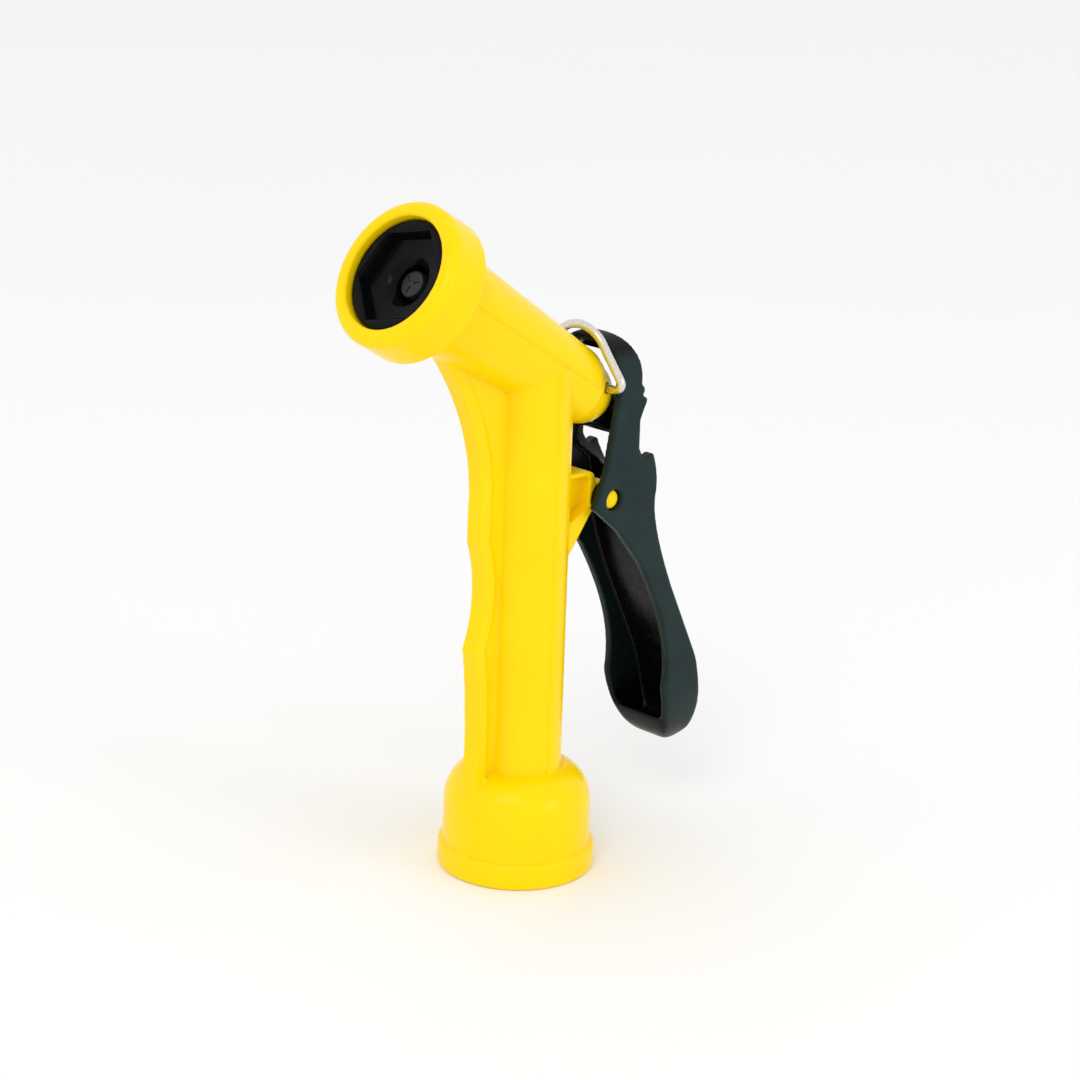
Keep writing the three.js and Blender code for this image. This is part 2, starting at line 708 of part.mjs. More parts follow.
const nozzle = new THREE.Group();
nozzle.add(
  mesh('body', body(), yellowPlastic),
  mesh('hose_washer', hoseWasher(), blackRubber),
  mesh('lever', lever(), leverPlastic),
  mesh('pivot_pin', pivotPin(), yellowPlastic),
  mesh('wire_clip', wireClip(), brightSteel),
  barrelPieces,
);

export default nozzle;
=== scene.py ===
# Hose spray nozzle: the shapes and finishes of its visible pieces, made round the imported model.
# Lengths are written in millimetres and turned into metres by mm.
# +Z runs up the grip and -X towards the spray. Heights on the barrel run forward from the grip's axis.

import json
import math

import bpy
from mathutils import Matrix, Vector
from mathutils.kdtree import KDTree


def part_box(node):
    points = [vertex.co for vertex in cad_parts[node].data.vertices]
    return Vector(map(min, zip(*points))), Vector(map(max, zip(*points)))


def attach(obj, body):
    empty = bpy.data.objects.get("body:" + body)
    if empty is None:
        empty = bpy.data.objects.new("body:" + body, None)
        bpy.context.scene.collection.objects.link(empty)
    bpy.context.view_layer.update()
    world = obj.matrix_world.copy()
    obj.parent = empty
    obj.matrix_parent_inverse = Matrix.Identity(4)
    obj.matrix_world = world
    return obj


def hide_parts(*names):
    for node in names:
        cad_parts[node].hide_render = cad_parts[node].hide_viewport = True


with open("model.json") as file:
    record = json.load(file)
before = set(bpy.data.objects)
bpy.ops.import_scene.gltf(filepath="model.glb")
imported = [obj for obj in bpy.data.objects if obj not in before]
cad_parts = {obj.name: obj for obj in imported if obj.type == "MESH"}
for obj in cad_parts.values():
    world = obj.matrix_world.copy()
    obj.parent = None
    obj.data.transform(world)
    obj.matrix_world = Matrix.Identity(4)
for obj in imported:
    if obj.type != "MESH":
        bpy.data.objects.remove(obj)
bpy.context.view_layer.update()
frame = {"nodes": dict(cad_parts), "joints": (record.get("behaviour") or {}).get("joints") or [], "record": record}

mm = 0.001
joints = {joint["name"]: joint for joint in frame["joints"]}

# ---- places taken from the frame --------------------------------------------------------------

slide = Vector(joints["stem_slide"]["axis"]).normalized()
pitch = math.atan2(-slide.z, slide.x)
pivot = Vector(joints["lever_pivot"]["pos_m"]) / mm
clip_pivot = Vector(joints["clip_hinge"]["pos_m"]) / mm
collar_radius = (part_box("body")[1] / mm).y
lever_half_width = (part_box("lever")[1] / mm).y

nose_radius = 16.4
barrel_height = 118.6          # where the barrel's axis crosses the grip's
barrel_front = 47.5            # along the barrel from that crossing

far = 80                       # past every face, for cuts that go right through
joined = 0.002                 # points closer than this are one


def barrel_frame():
    """Local Z forward along the barrel, local X up and across it."""
    turn = Matrix.Rotation(pitch - math.pi / 2, 4, "Y")
    return Matrix.Translation((0, 0, barrel_height * mm)) @ turn


# ---- modelling helpers ------------------------------------------------------------------------


def only(piece):
    bpy.ops.object.select_all(action="DESELECT")
    piece.select_set(True)
    bpy.context.view_layer.objects.active = piece


def edit(piece):
    only(piece)
    bpy.ops.object.mode_set(mode="EDIT")


def done():
    bpy.ops.object.mode_set(mode="OBJECT")


def drawn_line(name, points):
    """A chain of edges, one vertex extruded from point to point."""
    bpy.ops.object.select_all(action="DESELECT")
    bpy.ops.mesh.primitive_plane_add(size=mm)
    piece = bpy.context.object
    piece.name = name
    piece.data.name = name
    bpy.ops.object.mode_set(mode="EDIT")
    bpy.ops.mesh.select_mode(type="VERT")
    bpy.ops.mesh.select_all(action="SELECT")
    bpy.ops.mesh.merge(type="CENTER")
    here = Vector(points[0]) * mm
    bpy.ops.transform.translate(value=here)
    for point in points[1:]:
        there = Vector(point) * mm
        bpy.ops.mesh.extrude_region_move(TRANSFORM_OT_translate={"value": there - here})
        here = there
    return piece


def closed(piece):
    """Turns every face of the shell being edited outwards."""
    bpy.ops.mesh.select_all(action="SELECT")
    bpy.ops.mesh.normals_make_consistent(inside=False)
    done()
    corners = [[piece.data.vertices[v].co for v in face.vertices] for face in piece.data.polygons]
    volume = sum(c[0].dot(c[i].cross(c[i + 1])) for c in corners for i in range(1, len(c) - 1))
    if volume < 0:
        edit(piece)
        bpy.ops.mesh.select_all(action="SELECT")
        bpy.ops.mesh.flip_normals()
        done()
    return piece


def turned(name, profile, steps=96):
    """A profile of (radius, height) spun about Z."""
    piece = drawn_line(name, [(radius, 0, height) for radius, height in profile])
    bpy.ops.mesh.select_all(action="SELECT")
    bpy.ops.mesh.spin(steps=steps, angle=2 * math.pi, center=(0, 0, 0), axis=(0, 0, 1))
    bpy.ops.mesh.select_all(action="SELECT")
    bpy.ops.mesh.remove_doubles(threshold=joined * mm)
    return closed(piece)


def slab(name, outline, low, high):
    """An outline of (x, z) extruded across Y."""
    piece = drawn_line(name, [(x, low, z) for x, z in outline])
    bpy.ops.mesh.select_all(action="SELECT")
    bpy.ops.mesh.edge_face_add()
    bpy.ops.mesh.extrude_region_move(TRANSFORM_OT_translate={"value": (0, (high - low) * mm, 0)})
    return closed(piece)


def plank(name, outline, low, high):
    """An outline of (y, z) extruded along X."""
    piece = drawn_line(name, [(low, y, z) for y, z in outline])
    bpy.ops.mesh.select_all(action="SELECT")
    bpy.ops.mesh.edge_face_add()
    bpy.ops.mesh.extrude_region_move(TRANSFORM_OT_translate={"value": ((high - low) * mm, 0, 0)})
    return closed(piece)


def block(name, low, high):
    bpy.ops.object.select_all(action="DESELECT")
    size = [(b - a) * mm for a, b in zip(low, high)]
    middle = [(a + b) / 2 * mm for a, b in zip(low, high)]
    bpy.ops.mesh.primitive_cube_add(size=1, location=middle, scale=size)
    piece = bpy.context.object
    piece.name = name
    bpy.ops.object.transform_apply(location=True, rotation=True, scale=True)
    return piece


def across_rod(name, radius, low, high, at, sides=64):
    """A round bar along Y at (x, z)."""
    bpy.ops.object.select_all(action="DESELECT")
    bpy.ops.mesh.primitive_cylinder_add(vertices=sides, radius=radius * mm, depth=(high - low) * mm,
                                        location=(at[0] * mm, (low + high) / 2 * mm, at[1] * mm),
                                        rotation=(math.pi / 2, 0, 0))
    piece = bpy.context.object
    piece.name = name
    bpy.ops.object.transform_apply(location=True, rotation=True, scale=True)
    return piece


def placed(piece, matrix):
    piece.matrix_world = matrix
    only(piece)
    bpy.ops.object.transform_apply(location=True, rotation=True, scale=True)
    return piece


def on_barrel(piece):
    return placed(piece, barrel_frame())


def keep_side(piece, point, normal):
    """Cuts a piece by a plane, keeps what lies on the normal's side and closes the cut."""
    edit(piece)
    bpy.ops.mesh.select_all(action="SELECT")
    bpy.ops.mesh.bisect(plane_co=[p * mm for p in point], plane_no=normal,
                        use_fill=True, clear_inner=True)
    return closed(piece)


def apply(piece, kind, **settings):
    only(piece)
    modifier = piece.modifiers.new(kind.title(), kind)
    for name, value in settings.items():
        setattr(modifier, name, value)
    bpy.ops.object.modifier_apply(modifier=modifier.name)
    return piece


def combined(piece, others, operation):
    for other in others:
        apply(piece, "BOOLEAN", object=other, operation=operation, solver="MANIFOLD")
        bpy.data.objects.remove(other)
    return piece


def bevelled(piece, width, segments=3, angle=30):
    return apply(piece, "BEVEL", width=width * mm, segments=segments, limit_method="ANGLE",
                 angle_limit=math.radians(angle))


def smooth(piece, angle=30):
    only(piece)
    bpy.ops.object.shade_smooth_by_angle(angle=math.radians(angle))
    return piece


def moulded(piece, grid, rounds=2, reach=0.8, most=190000):
    """Rounds every edge and corner within reach, as a mould does, and keeps the open surfaces."""
    only(piece)
    bpy.ops.object.duplicate()
    soft = bpy.context.object
    apply(soft, "REMESH", mode="VOXEL", voxel_size=grid * mm)
    crease = sharp_points(piece, grid)
    near = soft.vertex_groups.new(name="near_edges")
    clear = soft.vertex_groups.new(name="clear_of_edges")
    for vertex in soft.data.vertices:
        distance = crease.find(vertex.co)[2] / mm
        share = min(1.0, max(0.0, (distance - reach * 0.6) / (reach * 0.4)))
        clear.add([vertex.index], share, "REPLACE")
        near.add([vertex.index], 1 - share, "REPLACE")
    apply(soft, "SHRINKWRAP", target=piece, vertex_group=clear.name)
    apply(soft, "SMOOTH", factor=0.5, iterations=rounds, vertex_group=near.name)
    count = sum(len(face.vertices) - 2 for face in soft.data.polygons)
    if count > most:
        apply(soft, "DECIMATE", ratio=most / count)
    name = piece.name
    bpy.data.objects.remove(piece)
    soft.name = name
    soft.data.name = name
    soft.vertex_groups.clear()
    only(soft)
    bpy.ops.object.shade_smooth()
    return soft


def sharp_points(piece, spacing, flattest=22):
    """Points along the edges that turn by more than an angle in degrees, a spacing apart."""
    mesh = piece.data
    faces = {}
    for face in mesh.polygons:
        for key in face.edge_keys:
            faces.setdefault(key, []).append(face.normal)
    points = []
    for (a, b), normals in faces.items():
        if len(normals) == 2 and normals[0].dot(normals[1]) > math.cos(math.radians(flattest)):
            continue
        start, end = mesh.vertices[a].co, mesh.vertices[b].co
        steps = max(1, int((end - start).length / (spacing * mm)))
        points += [start.lerp(end, i / steps) for i in range(steps + 1)]
    tree = KDTree(len(points))
    for number, point in enumerate(points):
        tree.insert(point, number)
    tree.balance()
    return tree


def arc(centre, radii, start, end, steps):
    """Points of an ellipse's arc, in degrees."""
    points = []
    for i in range(steps + 1):
        angle = math.radians(start + (end - start) * i / steps)
        points.append((centre[0] + radii[0] * math.cos(angle), centre[1] + radii[1] * math.sin(angle)))
    return points


def curve(start, pull, end, steps=10):
    """Points of a quadratic curve after its start."""
    points = []
    for i in range(1, steps + 1):
        t = i / steps
        points.append(tuple((1 - t) ** 2 * a + 2 * t * (1 - t) * b + t * t * c
                            for a, b, c in zip(start, pull, end)))
    return points


# ---- finishes ---------------------------------------------------------------------------------


class Finish:
    """A material and its nodes, with short calls to add and join them."""

    def __init__(self, name):
        self.material = bpy.data.materials.new(name)
        self.material.use_nodes = True
        self.tree = self.material.node_tree
        self.shader = self.tree.nodes["Principled BSDF"]
        self.place = self.tree.nodes.new("ShaderNodeTexCoord").outputs["Object"]

    def join(self, *pairs):
        """Links each socket to another node's output, or gives it a plain value."""
        for socket, value in pairs:
            if isinstance(value, bpy.types.NodeSocket):
                self.tree.links.new(value, socket)
            else:
                socket.default_value = value

    def add(self, kind, inputs=None, **settings):
        node = self.tree.nodes.new(kind)
        for name, value in settings.items():
            setattr(node, name, value)
        self.join(*((node.inputs[name], value) for name, value in (inputs or {}).items()))
        return node

    def set(self, **values):
        inputs = self.shader.inputs
        self.join(*((inputs[name.replace("_", " ")], value) for name, value in values.items()))

    def noise(self, grain, detail=3, roughness=0.5, place=None):
        """Noise whose lumps are about as large as grain, in millimetres."""
        inputs = {"Vector": place or self.place, "Scale": 1 / (grain * mm), "Detail": detail,
                  "Roughness": roughness}
        return self.add("ShaderNodeTexNoise", inputs).outputs["Fac"]

    def ramp(self, value, low, high, start=0.0, end=1.0):
        inputs = {"Value": value, "From Min": start, "From Max": end,
                  "To Min": low, "To Max": high}
        return self.add("ShaderNodeMapRange", inputs).outputs["Result"]

    def mixed(self, share, first, second):
        node = self.add("ShaderNodeMix", data_type="RGBA")
        self.join((node.inputs[0], share), (node.inputs[6], first), (node.inputs[7], second))
        return node.outputs[2]

    def math(self, operation, first, second=0.0):
        node = self.add("ShaderNodeMath", operation=operation)
        self.join((node.inputs[0], first), (node.inputs[1], second))
        return node.outputs[0]

    def relief(self, height, depth, strength=1.0):
        """Bump of a depth in millimetres."""
        inputs = {"Height": height, "Distance": depth * mm, "Strength": strength}
        return self.add("ShaderNodeBump", inputs).outputs["Normal"]

    def paint(self, piece, slot_name=None):
        piece.data.materials.clear()
        piece.data.materials.append(self.material)


def yellow_plastic():
    finish = Finish("yellow_plastic")
    cloud = finish.noise(22, 2)
    speck = finish.noise(0.9, 2, 0.6)
    hollow = finish.add("ShaderNodeNewGeometry").outputs["Pointiness"]
    tone = finish.mixed(finish.ramp(cloud, 0, 1, 0.35, 0.65),
                        (1.0, 0.705, 0.0, 1), (1.0, 0.67, 0.0, 1))
    marked = finish.mixed(finish.ramp(speck, 0, 0.3, 0.74, 0.8), tone, (0.72, 0.40, 0.0, 1))
    # Creases and hollows, found by pointiness, turn orange: painted shade where less light reaches.
    shade = finish.ramp(hollow, 0.55, 0, 0.42, 0.49)
    colour = finish.mixed(shade, marked, (0.92, 0.30, 0.0, 1))
    ripple = finish.noise(5, 2)
    pits = finish.noise(0.25, 2)
    height = finish.math("ADD", finish.math("MULTIPLY", ripple, 0.7),
                         finish.math("MULTIPLY", pits, 0.06))
    finish.set(Base_Color=colour, Roughness=finish.ramp(finish.noise(3, 3), 0.2, 0.3, 0.35, 0.65),
               Normal=finish.relief(height, 0.03), IOR=1.5, Specular_IOR_Level=0.14)
    return finish


def lever_plastic():
    finish = Finish("lever_plastic")
    sides = finish.add("ShaderNodeSeparateXYZ", {"Vector": finish.place}).outputs["Y"]
    inside = finish.ramp(finish.math("ABSOLUTE", sides), 1, 0, 7.6 * mm, 9.3 * mm)
    cloud = finish.noise(9, 3)
    outer = finish.mixed(finish.ramp(cloud, 0, 1, 0.35, 0.65),
                         (0.009, 0.022, 0.021, 1), (0.013, 0.028, 0.027, 1))
    # Inside the channel the base colour goes near black: painted shade of the hollow. The same mask also makes the
    # inside glossier and leaves the grain off it.
    colour = finish.mixed(inside, outer, (0.0015, 0.0018, 0.0018, 1))
    grain = finish.noise(0.22, 3, 0.6)
    ripple = finish.noise(4, 2)
    satin = finish.ramp(finish.noise(2.5, 4), 0.36, 0.48, 0.35, 0.65)
    gloss = finish.math("SUBTRACT", satin, finish.math("MULTIPLY", inside, 0.16))
    outside = finish.math("SUBTRACT", 1.0, inside)
    height = finish.math("ADD", finish.math("MULTIPLY", finish.math("MULTIPLY", grain, 0.5), outside),
                         finish.math("MULTIPLY", ripple, 0.4))
    finish.set(Base_Color=colour, Roughness=gloss, Normal=finish.relief(height, 0.03), IOR=1.5,
               Specular_IOR_Level=0.12)
    return finish


def black_plastic():
    finish = Finish("black_plastic")
    cloud = finish.noise(5, 3)
    colour = finish.mixed(cloud, (0.0015, 0.0018, 0.0018, 1), (0.004, 0.0045, 0.0045, 1))
    finish.set(Base_Color=colour, Roughness=finish.ramp(finish.noise(1.5, 3), 0.12, 0.22, 0.35, 0.65),
               Normal=finish.relief(finish.noise(2.5, 3), 0.01), IOR=1.5, Specular_IOR_Level=0.08)
    return finish


def grey_plastic():
    finish = Finish("grey_plastic")
    cloud = finish.noise(1.5, 3)
    colour = finish.mixed(cloud, (0.006, 0.008, 0.009, 1), (0.011, 0.014, 0.015, 1))
    finish.set(Base_Color=colour, Roughness=finish.ramp(cloud, 0.4, 0.55, 0.35, 0.65),
               Normal=finish.relief(finish.noise(0.3, 3), 0.02), IOR=1.48)
    return finish


def bright_steel():
    finish = Finish("bright_steel")
    streak = finish.noise(0.35, 4, 0.6)
    colour = finish.mixed(finish.ramp(streak, 0, 1, 0.35, 0.65),
                          (0.66, 0.62, 0.55, 1), (0.80, 0.78, 0.73, 1))
    finish.set(Base_Color=colour, Metallic=1.0, Roughness=finish.ramp(streak, 0.16, 0.34, 0.3, 0.7),
               Normal=finish.relief(streak, 0.01))
    return finish


def brass():
    finish = Finish("brass")
    stain = finish.noise(1.6, 4)
    colour = finish.mixed(finish.ramp(stain, 0, 1, 0.35, 0.65),
                          (0.58, 0.40, 0.14, 1), (0.74, 0.55, 0.24, 1))
    marks = finish.noise(0.15, 2)
    finish.set(Base_Color=colour, Metallic=1.0, Roughness=finish.ramp(stain, 0.24, 0.42, 0.3, 0.7),
               Normal=finish.relief(marks, 0.012))
    return finish


def black_rubber():
    finish = Finish("black_rubber")
    bloom = finish.noise(2, 4)
    colour = finish.mixed(bloom, (0.006, 0.006, 0.006, 1), (0.022, 0.022, 0.022, 1))
    finish.set(Base_Color=colour, Roughness=finish.ramp(bloom, 0.6, 0.85, 0.3, 0.7),
               Normal=finish.relief(finish.noise(0.4, 3), 0.03))
    return finish


finishes = {make.__name__: make() for make in (yellow_plastic, lever_plastic, black_plastic,
                                               grey_plastic, bright_steel, brass, black_rubber)}


def fitted(piece, body, finish, *nodes):
    """Paints a finished piece, lets it ride on its body and stand for its CAD nodes."""
    finishes[finish].paint(piece, finish)
    if nodes:
        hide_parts(*nodes)
    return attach(piece, body)


# ---- body -------------------------------------------------------------------------------------

lip_radius = collar_radius
lip_height = 5.8
collar_wall = 16.8
collar_height = 15.5
shoulder = 8.8
grip_radius = 9.1
grip_top = 140                 # before the barrel's axis cuts it off
rear_step = 0.7
top_step = 0.65
nose_round = 2.2
nose_rear = 36.3
barrel_rear = -17.2
barrel_rear_radius = 8.3
barrel_front_radius = 11.5
flange_depth = 3.3
flange_half_width = 2.2
flange_top = 126
lug_half_width = 6
pocket_floor = 2.8             # from the middle of the bracket
chamber_radius = 6.4
chamber_front = 39
spigot_bore = 8.5
spigot_rear = 29.6
insert_bore = 12.7
insert_seat = 38.4
mouth_radius = 13.2
socket_radius = 13.2
socket_depth = 12.7
passage_radius = 6
pin_hole_radius = 2.5


def collar():
    profile = [(0, 0), (lip_radius - 0.5, 0), (lip_radius, 0.5), (lip_radius, lip_height - 0.5),
               (lip_radius - 0.5, lip_height), (collar_wall + 0.15, lip_height),
               (collar_wall, collar_height)]
    profile += arc((grip_radius, collar_height), (collar_wall - grip_radius, shoulder), 8, 90, 14)
    profile.append((0, collar_height + shoulder))
    return turned("collar", profile, 128)


def grip():
    tube = turned("grip", [(0, collar_height), (grip_radius, collar_height),
                           (grip_radius, grip_top), (0, grip_top)])
    rear_radius = grip_radius + rear_step
    rear = turned("rear_shell", [(0, collar_height), (rear_radius, collar_height),
                                 (rear_radius, grip_top), (0, grip_top)])
    keep_side(rear, (0.3, 0, 0), (1, 0, 0))
    for piece in (tube, rear):
        keep_side(piece, (0, 0, barrel_height), (-math.sin(pitch), 0, -math.cos(pitch)))
    return [tube, rear]


def barrel():
    rear, front = barrel_rear_radius, barrel_front_radius
    tube = turned("barrel", [(0, barrel_rear), (rear, barrel_rear), (front, nose_rear),
                             (front, nose_rear + 1), (0, nose_rear + 1)])
    top = turned("barrel_top", [(0, barrel_rear + 2), (rear + top_step, barrel_rear + 2),
                                (front + top_step, nose_rear + 0.5), (0, nose_rear + 0.5)])
    keep_side(top, (1.2, 0, 0), (1, 0, 0))
    profile = [(0, nose_rear), (nose_radius - 0.8, nose_rear), (nose_radius, nose_rear + 0.8)]
    profile += arc((nose_radius - nose_round, barrel_front - nose_round),
                   (nose_round, nose_round), 0, 90, 10)
    nose = turned("nose", profile + [(0, barrel_front)], 128)
    return [on_barrel(piece) for piece in (tube, top, nose)]


def flange_edge(back, foot, top):
    """The finger flange's front, from its foot up, moved back by an amount."""
    x = -15.6 + back
    low_ridge, high_ridge, straight = 54.8, 79.5, 90
    points = [(x, foot)]
    points += curve((x, foot), (x + 1, (foot + low_ridge) / 2 + 5), (x - 0.9, low_ridge), 12)
    points += curve(points[-1], (x + 3.9, (low_ridge + high_ridge) / 2), (x - 0.3, high_ridge), 14)
    points.append((x, straight))
    points += curve((x, straight), (x, (straight + top) / 2), (x - 14.2, top), 14)
    return points


def flange():
    foot, top = collar_height + shoulder - 5, flange_top
    front = flange_edge(0, foot, top)
    inner = flange_edge(flange_depth, foot, top)
    bar = slab("flange", front + inner[::-1], -flange_half_width, flange_half_width)
    web = slab("flange_web", front + [(-4, top), (-4, foot)], -2, 2)
    wedge = plank("web_wedge", [(-1, foot), (1, foot), (2, top), (-2, top)], -40, 10)
    combined(web, [wedge], "INTERSECT")
    for piece in (bar, web):
        low_side = (-math.sin(pitch), 0, -math.cos(pitch))
        keep_side(piece, (-4 * math.sin(pitch), 0, barrel_height - 4 * math.cos(pitch)), low_side)
    return [bar, web]


def bracket():
    """Two ribs that carry the pivot, drawn from it, with a pocket between them on each side."""
    root = 5 - pivot.x
    outline = [(root, 6.9), (-4.2, 6.5)] + curve((-4.2, 6.5), (-2.4, 6.4), (-2.1, 4.4), 6)
    outline += arc((0, 0), (3.7, 3.7), 122, -135, 24) + [(-8.8, -10.9), (root, -15.4)]
    pocket = [(root - 1, 5.7), (-4.8, 5.5), (-3.9, 4.4), (-4, -1.7), (root - 1, -6.9)]
    lug = slab("bracket", outline, -lug_half_width, lug_half_width)
    pockets = [slab("pocket", pocket, pocket_floor, 8), slab("pocket", pocket, -8, -pocket_floor)]
    return placed(combined(lug, pockets, "DIFFERENCE"), Matrix.Translation(pivot * mm))


def waterways():
    chamber = turned("chamber", [(0, barrel_rear - 1), (chamber_radius, barrel_rear - 1),
                                 (chamber_radius, chamber_front), (0, chamber_front)], 64)
    spigot = turned("spigot", [(0, spigot_rear), (spigot_bore, spigot_rear),
                               (spigot_bore, chamber_front), (0, chamber_front)], 64)
    mouth = turned("mouth", [(0, insert_seat), (insert_bore, insert_seat), (insert_bore, 47),
                             (mouth_radius, 47.6), (mouth_radius, 49), (0, 49)])
    socket = turned("socket", [(0, -1), (socket_radius, -1), (socket_radius, socket_depth),
                               (0, socket_depth)])
    passage = turned("passage", [(0, 1), (passage_radius, 1), (passage_radius, barrel_height - 4),
                                 (0, barrel_height - 4)], 64)
    pin = across_rod("pin_hole", pin_hole_radius, -far, far, (pivot.x, pivot.z))
    return [on_barrel(chamber), on_barrel(spigot), on_barrel(mouth), socket, passage, pin]


def nozzle_body():
    piece = collar()
    piece.name = "nozzle_body"
    combined(piece, grip() + flange() + [bracket()] + barrel(), "UNION")
    combined(piece, waterways(), "DIFFERENCE")
    piece = moulded(piece, 0.34)
    return fitted(piece, "body", "yellow_plastic", "body")


# ---- pieces on the barrel's axis ---------------------------------------------------------------

insert_face = 45.9
hex_floor = 42.4
hex_turn = math.radians(12)
outlet_radius = 4.2
outlet_flare = 5.8
stem_radius = 2.2
stem_hole = 2.5                # through the cap and the nut's dome
plug_radius = 6.1
seal_groove = 4.7              # radius of its floor
gland_bore = 4.45
dome_radius = 7.6
dome_centre = -17.5
dome_flat = -25
dome_flat_radius = 3.4
wire_hole_radius = 1.3
tip_grooves = 3
thread_rings = 10
thread_depth = 0.25
flats_apart = 3.35             # half the adjusting nut's width over its flats


def rear_cap():
    profile = [(stem_hole, dome_flat)]
    start = math.degrees(math.asin(dome_flat_radius / dome_radius))
    depth = (dome_centre - dome_flat) / math.cos(math.radians(start))
    for i in range(21):
        angle = math.radians(start + (90 - start) * i / 20)
        profile.append((dome_radius * math.sin(angle), dome_centre - depth * math.cos(angle)))
    profile += [(plug_radius, dome_centre), (plug_radius, -15.0), (seal_groove, -15.0),
                (seal_groove, -13.4), (plug_radius, -13.4), (plug_radius, -10), (gland_bore, -10),
                (gland_bore, -12.7), (stem_hole, -12.7), (stem_hole, dome_flat)]
    cap = on_barrel(turned("rear_cap", profile))
    at = (clip_pivot.x, clip_pivot.z)
    holes = [across_rod("wire_hole", wire_hole_radius, 4, 12, at, 32),
             across_rod("wire_hole", wire_hole_radius, -12, -4, at, 32)]
    combined(cap, holes, "DIFFERENCE")
    smooth(cap, 35)
    return fitted(cap, "body", "yellow_plastic", "end_cap")


def six_sided(name, low_radius, high_radius, low, high, turn):
    bpy.ops.object.select_all(action="DESELECT")
    bpy.ops.mesh.primitive_cone_add(vertices=6, radius1=low_radius * mm, radius2=high_radius * mm,
                                    depth=(high - low) * mm, location=(0, 0, (low + high) / 2 * mm),
                                    rotation=(0, 0, turn))
    piece = bpy.context.object
    piece.name = name
    bpy.ops.object.transform_apply(location=True, rotation=True, scale=True)
    return piece


def spray_insert():
    neck, groove, head = 8.2, 6.8, 12.4
    outside = turned("spray_insert", [(0, 29.9), (neck, 29.9), (neck, 32), (groove, 32), (groove, 33.8),
                                      (neck, 33.8), (neck, 38.7), (head, 38.7),
                                      (head, insert_face - 0.4), (head - 0.4, insert_face),
                                      (0, insert_face)])
    hexagon = six_sided("hexagon", 10.8, 11.4, hex_floor, insert_face + 0.5, hex_turn)
    lead_in = six_sided("lead_in", 11.1, 11.9, insert_face - 0.5, insert_face + 0.3, hex_turn)
    outlet = turned("outlet", [(0, 28), (outlet_radius, 28), (outlet_radius, hex_floor - 1.5),
                               (outlet_flare, hex_floor), (outlet_flare, 43), (0, 43)], 72)
    combined(outside, [hexagon, lead_in, outlet], "DIFFERENCE")
    bevelled(outside, 0.2, 2, 25)
    smooth(outside, 35)
    return fitted(on_barrel(outside), "body", "black_plastic", "nozzle_insert")


def stem_tip():
    rear, front, radius, bore, bore_end = 29.8, 41.2, 3.1, 2.5, 33.5
    tip = turned("stem_tip_face", [(bore, rear), (radius, rear), (radius, front - 0.7),
                                   (radius - 0.25, front - 0.2), (radius - 0.7, front), (0, front),
                                   (0, bore_end), (bore, bore_end), (bore, rear)], 64)
    grooves = []
    for number in range(tip_grooves):
        groove = block("groove", (0.5, -0.2, front - 0.3), (2.2, 0.2, front + 1))
        turn = math.radians(360 / tip_grooves * number + 50)
        grooves.append(placed(groove, Matrix.Rotation(turn, 4, "Z")))
    combined(tip, grooves, "DIFFERENCE")
    smooth(tip, 35)
    return fitted(on_barrel(tip), "stem", "grey_plastic", "stem_tip")


def valve_stem():
    rear, threaded_to, front = -36.6, -30.5, 33.2
    disc, waist = 5.2, 3
    profile = [(0, rear), (stem_radius - 0.4, rear)]
    ring = (threaded_to - rear - 0.4) / thread_rings
    for number in range(thread_rings):
        height = rear + 0.4 + number * ring
        profile += [(stem_radius, height), (stem_radius - thread_depth, height + ring / 2)]
    profile += [(stem_radius, threaded_to), (stem_radius, 9.9), (disc, 9.9), (disc, 11.9),
                (waist, 11.9), (waist, 24.5), (disc, 24.5), (disc, 27), (stem_radius, 27),
                (stem_radius, front), (0, front)]
    stem = turned("valve_rod", profile, 64)
    smooth(stem, 35)
    return fitted(on_barrel(stem), "stem", "brass", "valve_stem")


def gland_nut():
    low, high, radius, hole = -28.5, -25.3, 5.2, 2.6
    nut = six_sided("gland_hexagon", radius, radius, low, high, 0)
    bore = turned("bore", [(0, low - 1), (hole, low - 1), (hole, high + 1), (0, high + 1)], 48)
    round_off = turned("round_off", [(0, low), (4.6, low), (5.4, low + 0.6), (5.4, high - 0.6),
                                     (4.6, high), (0, high)])
    combined(nut, [round_off], "INTERSECT")
    combined(nut, [bore], "DIFFERENCE")
    smooth(nut, 30)
    return fitted(on_barrel(nut), "body", "black_plastic", "gland_nut")


def adjusting_nut():
    front, length, outer, ball, points = -31.7, 3.7, 3.8, 5, 8
    rear, centre = front - length, front - ball
    profile = [(stem_hole, rear), (outer - 0.4, rear), (outer, rear + 0.4)]
    for i in range(points + 1):
        radius = outer - 1.3 * i / points
        profile.append((radius, centre + math.sqrt(ball ** 2 - radius ** 2)))
    profile.append((stem_hole, rear))
    nut = turned("domed_nut", profile, 64)
    flats = [block("flat", (flats_apart, -5, rear - 1), (6, 5, front - 1.6)),
             block("flat", (-6, -5, rear - 1), (-flats_apart, 5, front - 1.6))]
    combined(nut, flats, "DIFFERENCE")
    smooth(nut, 30)
    return fitted(on_barrel(nut), "stem", "brass", "adjusting_nut")


def flat_ring(name, inner, outer, low, high, steps=72):
    ring = turned(name, [(inner, low), (outer, low), (outer, high), (inner, high), (inner, low)], steps)
    bevelled(ring, min(0.3, (high - low) / 5), 2)
    return smooth(ring, 40)


def hose_washer():
    low, high = (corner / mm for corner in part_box("hose_washer"))
    ring = flat_ring("sealing_washer", 6.8, high.x, low.z, high.z, 96)
    return fitted(ring, "body", "black_rubber", "hose_washer")


